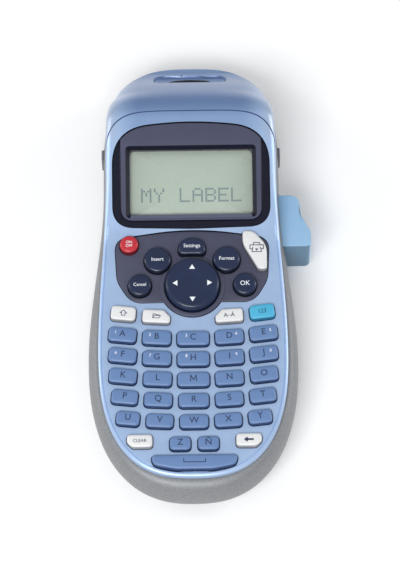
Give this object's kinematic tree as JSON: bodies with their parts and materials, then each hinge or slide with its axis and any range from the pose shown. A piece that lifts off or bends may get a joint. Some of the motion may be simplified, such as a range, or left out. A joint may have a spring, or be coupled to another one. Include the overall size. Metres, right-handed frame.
{
  "type": "handheld label maker",
  "caption": "Handheld thermal label maker with letter keys, arched display, navigation pad, side cutter button and a tape exit in the head.",
  "frame": {"origin": "on the flat back of the rear casing, on the middle line between the battery door and the cassette door", "axes": "+Z out of the keys, +Y along the body towards the head where the tape comes out, +X to the right as the keys are read"},
  "size_m": [0.0979, 0.2074, 0.0524],
  "materials": {
    "blue_shell": "satin pearl blue lacquer on moulded plastic",
    "grey_shell": "fine-textured metallic grey plastic",
    "letter_key": "smooth matt silicone",
    "white_key": "smooth matt silicone",
    "teal_key": "smooth matt silicone",
    "red_key": "smooth matt silicone",
    "navy_key": "smooth satin silicone",
    "graphite": "satin",
    "graphite_gloss": "gloss",
    "clear_window": "clear acrylic",
    "lcd": "reflective liquid crystal glass",
    "light_blue": "satin",
    "board": "solder mask on glass-fibre board",
    "steel": "bright",
    "aluminium": "machined heat sink",
    "rubber": "matt",
    "gear": "natural acetal",
    "cassette": "fine texture",
    "cell_sleeve": "printed sleeve on steel cans"
  },
  "bodies": {
    "case": {"front_shell": "blue_shell", "rear_shell": "grey_shell", "display_bezel": "graphite_gloss", "display_lens": "clear_window", "lcd_panel": "lcd", "control_panel": "graphite", "circuit_board": "board", "print_head": "aluminium", "motor": "steel", "tape_cassette": "cassette", "battery_set": "cell_sleeve"},
    "cassette_door": {"cassette_door": "grey_shell"},
    "battery_door": {"battery_door": "grey_shell"},
    "cutter": {"cutter_button": "light_blue", "cutter_blade": "steel"},
    "platen": {"platen_roller": "rubber"},
    "pinion": {"motor_pinion": "gear"},
    "navigation_pivot": {"navigation_pivot": "rubber"},
    "navigation_pad": {"navigation_pad": "navy_key"},
    "power_key": {"power_key": "red_key"},
    "settings_key": {"settings_key": "navy_key"},
    "insert_key": {"insert_key": "navy_key"},
    "format_key": {"format_key": "navy_key"},
    "print_key": {"print_key": "white_key"},
    "cancel_key": {"cancel_key": "navy_key"},
    "ok_key": {"ok_key": "navy_key"},
    "capitals_key": {"capitals_key": "white_key"},
    "symbols_key": {"symbols_key": "white_key"},
    "accents_key": {"accents_key": "white_key"},
    "numbers_key": {"numbers_key": "teal_key"},
    "clear_key": {"clear_key": "white_key"},
    "key_z": {"key_z": "letter_key"},
    "key_n_tilde": {"key_n_tilde": "letter_key"},
    "backspace_key": {"backspace_key": "white_key"},
    "space_key": {"space_key": "letter_key"},
    "key_a": {"key_a": "letter_key"},
    "key_b": {"key_b": "letter_key"},
    "key_c": {"key_c": "letter_key"},
    "key_d": {"key_d": "letter_key"},
    "key_e": {"key_e": "letter_key"},
    "key_f": {"key_f": "letter_key"},
    "key_g": {"key_g": "letter_key"},
    "key_h": {"key_h": "letter_key"},
    "key_i": {"key_i": "letter_key"},
    "key_j": {"key_j": "letter_key"},
    "key_k": {"key_k": "letter_key"},
    "key_l": {"key_l": "letter_key"},
    "key_m": {"key_m": "letter_key"},
    "key_n": {"key_n": "letter_key"},
    "key_o": {"key_o": "letter_key"},
    "key_p": {"key_p": "letter_key"},
    "key_q": {"key_q": "letter_key"},
    "key_r": {"key_r": "letter_key"},
    "key_s": {"key_s": "letter_key"},
    "key_t": {"key_t": "letter_key"},
    "key_u": {"key_u": "letter_key"},
    "key_v": {"key_v": "letter_key"},
    "key_w": {"key_w": "letter_key"},
    "key_x": {"key_x": "letter_key"},
    "key_y": {"key_y": "letter_key"}
  },
  "joints": [
    {"name": "cassette_door_hinge", "type": "hinge", "parent": "case", "child": "cassette_door", "pos_m": [0, 0.021, 0.0004], "axis": [-1, 0, 0], "range_deg": [0, 100]},
    {"name": "battery_door_lift", "type": "slide", "parent": "case", "child": "battery_door", "axis": [0, 0, -1], "range_m": [0, 0.03]},
    {"name": "cutter_press", "type": "slide", "parent": "case", "child": "cutter", "axis": [-1, 0, 0], "range_m": [0, 0.004], "stiffness_N_per_m": 900},
    {"name": "platen_spin", "type": "hinge", "parent": "case", "child": "platen", "pos_m": [0.0039, 0.07552, 0.02625], "axis": [0, -0.2149, 0.9766], "continuous": true},
    {"name": "pinion_spin", "type": "hinge", "parent": "case", "child": "pinion", "pos_m": [0.00846, 0.06574, 0.03393], "axis": [0, -0.2149, 0.9766], "continuous": true},
    {"name": "navigation_up_down", "type": "hinge", "parent": "case", "child": "navigation_pivot", "pos_m": [0, -0.00957, 0.03028], "axis": [1, 0, 0], "range_deg": [-2.5, 2.5], "stiffness_Nm_per_rad": 0.5},
    {"name": "navigation_left_right", "type": "hinge", "parent": "navigation_pivot", "child": "navigation_pad", "pos_m": [0, -0.00957, 0.03028], "axis": [0, 0.997, 0.0768], "range_deg": [-2.5, 2.5], "stiffness_Nm_per_rad": 0.5},
    {"name": "power_key_press", "type": "slide", "parent": "case", "child": "power_key", "axis": [0, 0.0768, -0.997], "range_m": [0, 0.001], "stiffness_N_per_m": 900},
    {"name": "settings_key_press", "type": "slide", "parent": "case", "child": "settings_key", "axis": [0, 0.0768, -0.997], "range_m": [0, 0.001], "stiffness_N_per_m": 900},
    {"name": "insert_key_press", "type": "slide", "parent": "case", "child": "insert_key", "axis": [0, 0.0768, -0.997], "range_m": [0, 0.001], "stiffness_N_per_m": 900},
    {"name": "format_key_press", "type": "slide", "parent": "case", "child": "format_key", "axis": [0, 0.0768, -0.997], "range_m": [0, 0.001], "stiffness_N_per_m": 900},
    {"name": "print_key_press", "type": "slide", "parent": "case", "child": "print_key", "axis": [0, 0.0768, -0.997], "range_m": [0, 0.001], "stiffness_N_per_m": 900},
    {"name": "cancel_key_press", "type": "slide", "parent": "case", "child": "cancel_key", "axis": [0, 0.0768, -0.997], "range_m": [0, 0.001], "stiffness_N_per_m": 900},
    {"name": "ok_key_press", "type": "slide", "parent": "case", "child": "ok_key", "axis": [0, 0.0768, -0.997], "range_m": [0, 0.001], "stiffness_N_per_m": 900},
    {"name": "capitals_key_press", "type": "slide", "parent": "case", "child": "capitals_key", "axis": [0, 0.0768, -0.997], "range_m": [0, 0.001], "stiffness_N_per_m": 900},
    {"name": "symbols_key_press", "type": "slide", "parent": "case", "child": "symbols_key", "axis": [0, 0.0768, -0.997], "range_m": [0, 0.001], "stiffness_N_per_m": 900},
    {"name": "accents_key_press", "type": "slide", "parent": "case", "child": "accents_key", "axis": [0, 0.0768, -0.997], "range_m": [0, 0.001], "stiffness_N_per_m": 900},
    {"name": "numbers_key_press", "type": "slide", "parent": "case", "child": "numbers_key", "axis": [0, 0.0768, -0.997], "range_m": [0, 0.001], "stiffness_N_per_m": 900},
    {"name": "clear_key_press", "type": "slide", "parent": "case", "child": "clear_key", "axis": [0, 0.0768, -0.997], "range_m": [0, 0.001], "stiffness_N_per_m": 900},
    {"name": "key_z_press", "type": "slide", "parent": "case", "child": "key_z", "axis": [0, 0.0768, -0.997], "range_m": [0, 0.001], "stiffness_N_per_m": 900},
    {"name": "key_n_tilde_press", "type": "slide", "parent": "case", "child": "key_n_tilde", "axis": [0, 0.0768, -0.997], "range_m": [0, 0.001], "stiffness_N_per_m": 900},
    {"name": "backspace_key_press", "type": "slide", "parent": "case", "child": "backspace_key", "axis": [0, 0.0768, -0.997], "range_m": [0, 0.001], "stiffness_N_per_m": 900},
    {"name": "space_key_press", "type": "slide", "parent": "case", "child": "space_key", "axis": [0, 0.0768, -0.997], "range_m": [0, 0.001], "stiffness_N_per_m": 900},
    {"name": "key_a_press", "type": "slide", "parent": "case", "child": "key_a", "axis": [0, 0.0768, -0.997], "range_m": [0, 0.001], "stiffness_N_per_m": 900},
    {"name": "key_b_press", "type": "slide", "parent": "case", "child": "key_b", "axis": [0, 0.0768, -0.997], "range_m": [0, 0.001], "stiffness_N_per_m": 900},
    {"name": "key_c_press", "type": "slide", "parent": "case", "child": "key_c", "axis": [0, 0.0768, -0.997], "range_m": [0, 0.001], "stiffness_N_per_m": 900},
    {"name": "key_d_press", "type": "slide", "parent": "case", "child": "key_d", "axis": [0, 0.0768, -0.997], "range_m": [0, 0.001], "stiffness_N_per_m": 900},
    {"name": "key_e_press", "type": "slide", "parent": "case", "child": "key_e", "axis": [0, 0.0768, -0.997], "range_m": [0, 0.001], "stiffness_N_per_m": 900},
    {"name": "key_f_press", "type": "slide", "parent": "case", "child": "key_f", "axis": [0, 0.0768, -0.997], "range_m": [0, 0.001], "stiffness_N_per_m": 900},
    {"name": "key_g_press", "type": "slide", "parent": "case", "child": "key_g", "axis": [0, 0.0768, -0.997], "range_m": [0, 0.001], "stiffness_N_per_m": 900},
    {"name": "key_h_press", "type": "slide", "parent": "case", "child": "key_h", "axis": [0, 0.0768, -0.997], "range_m": [0, 0.001], "stiffness_N_per_m": 900},
    {"name": "key_i_press", "type": "slide", "parent": "case", "child": "key_i", "axis": [0, 0.0768, -0.997], "range_m": [0, 0.001], "stiffness_N_per_m": 900},
    {"name": "key_j_press", "type": "slide", "parent": "case", "child": "key_j", "axis": [0, 0.0768, -0.997], "range_m": [0, 0.001], "stiffness_N_per_m": 900},
    {"name": "key_k_press", "type": "slide", "parent": "case", "child": "key_k", "axis": [0, 0.0768, -0.997], "range_m": [0, 0.001], "stiffness_N_per_m": 900},
    {"name": "key_l_press", "type": "slide", "parent": "case", "child": "key_l", "axis": [0, 0.0768, -0.997], "range_m": [0, 0.001], "stiffness_N_per_m": 900},
    {"name": "key_m_press", "type": "slide", "parent": "case", "child": "key_m", "axis": [0, 0.0768, -0.997], "range_m": [0, 0.001], "stiffness_N_per_m": 900},
    {"name": "key_n_press", "type": "slide", "parent": "case", "child": "key_n", "axis": [0, 0.0768, -0.997], "range_m": [0, 0.001], "stiffness_N_per_m": 900},
    {"name": "key_o_press", "type": "slide", "parent": "case", "child": "key_o", "axis": [0, 0.0768, -0.997], "range_m": [0, 0.001], "stiffness_N_per_m": 900},
    {"name": "key_p_press", "type": "slide", "parent": "case", "child": "key_p", "axis": [0, 0.0768, -0.997], "range_m": [0, 0.001], "stiffness_N_per_m": 900},
    {"name": "key_q_press", "type": "slide", "parent": "case", "child": "key_q", "axis": [0, 0.0768, -0.997], "range_m": [0, 0.001], "stiffness_N_per_m": 900},
    {"name": "key_r_press", "type": "slide", "parent": "case", "child": "key_r", "axis": [0, 0.0768, -0.997], "range_m": [0, 0.001], "stiffness_N_per_m": 900},
    {"name": "key_s_press", "type": "slide", "parent": "case", "child": "key_s", "axis": [0, 0.0768, -0.997], "range_m": [0, 0.001], "stiffness_N_per_m": 900},
    {"name": "key_t_press", "type": "slide", "parent": "case", "child": "key_t", "axis": [0, 0.0768, -0.997], "range_m": [0, 0.001], "stiffness_N_per_m": 900},
    {"name": "key_u_press", "type": "slide", "parent": "case", "child": "key_u", "axis": [0, 0.0768, -0.997], "range_m": [0, 0.001], "stiffness_N_per_m": 900},
    {"name": "key_v_press", "type": "slide", "parent": "case", "child": "key_v", "axis": [0, 0.0768, -0.997], "range_m": [0, 0.001], "stiffness_N_per_m": 900},
    {"name": "key_w_press", "type": "slide", "parent": "case", "child": "key_w", "axis": [0, 0.0768, -0.997], "range_m": [0, 0.001], "stiffness_N_per_m": 900},
    {"name": "key_x_press", "type": "slide", "parent": "case", "child": "key_x", "axis": [0, 0.0768, -0.997], "range_m": [0, 0.001], "stiffness_N_per_m": 900},
    {"name": "key_y_press", "type": "slide", "parent": "case", "child": "key_y", "axis": [0, 0.0768, -0.997], "range_m": [0, 0.001], "stiffness_N_per_m": 900}
  ],
  "couplings": [
    {"joint": "pinion_spin", "follows": "platen_spin", "ratio": -2}
  ]
}
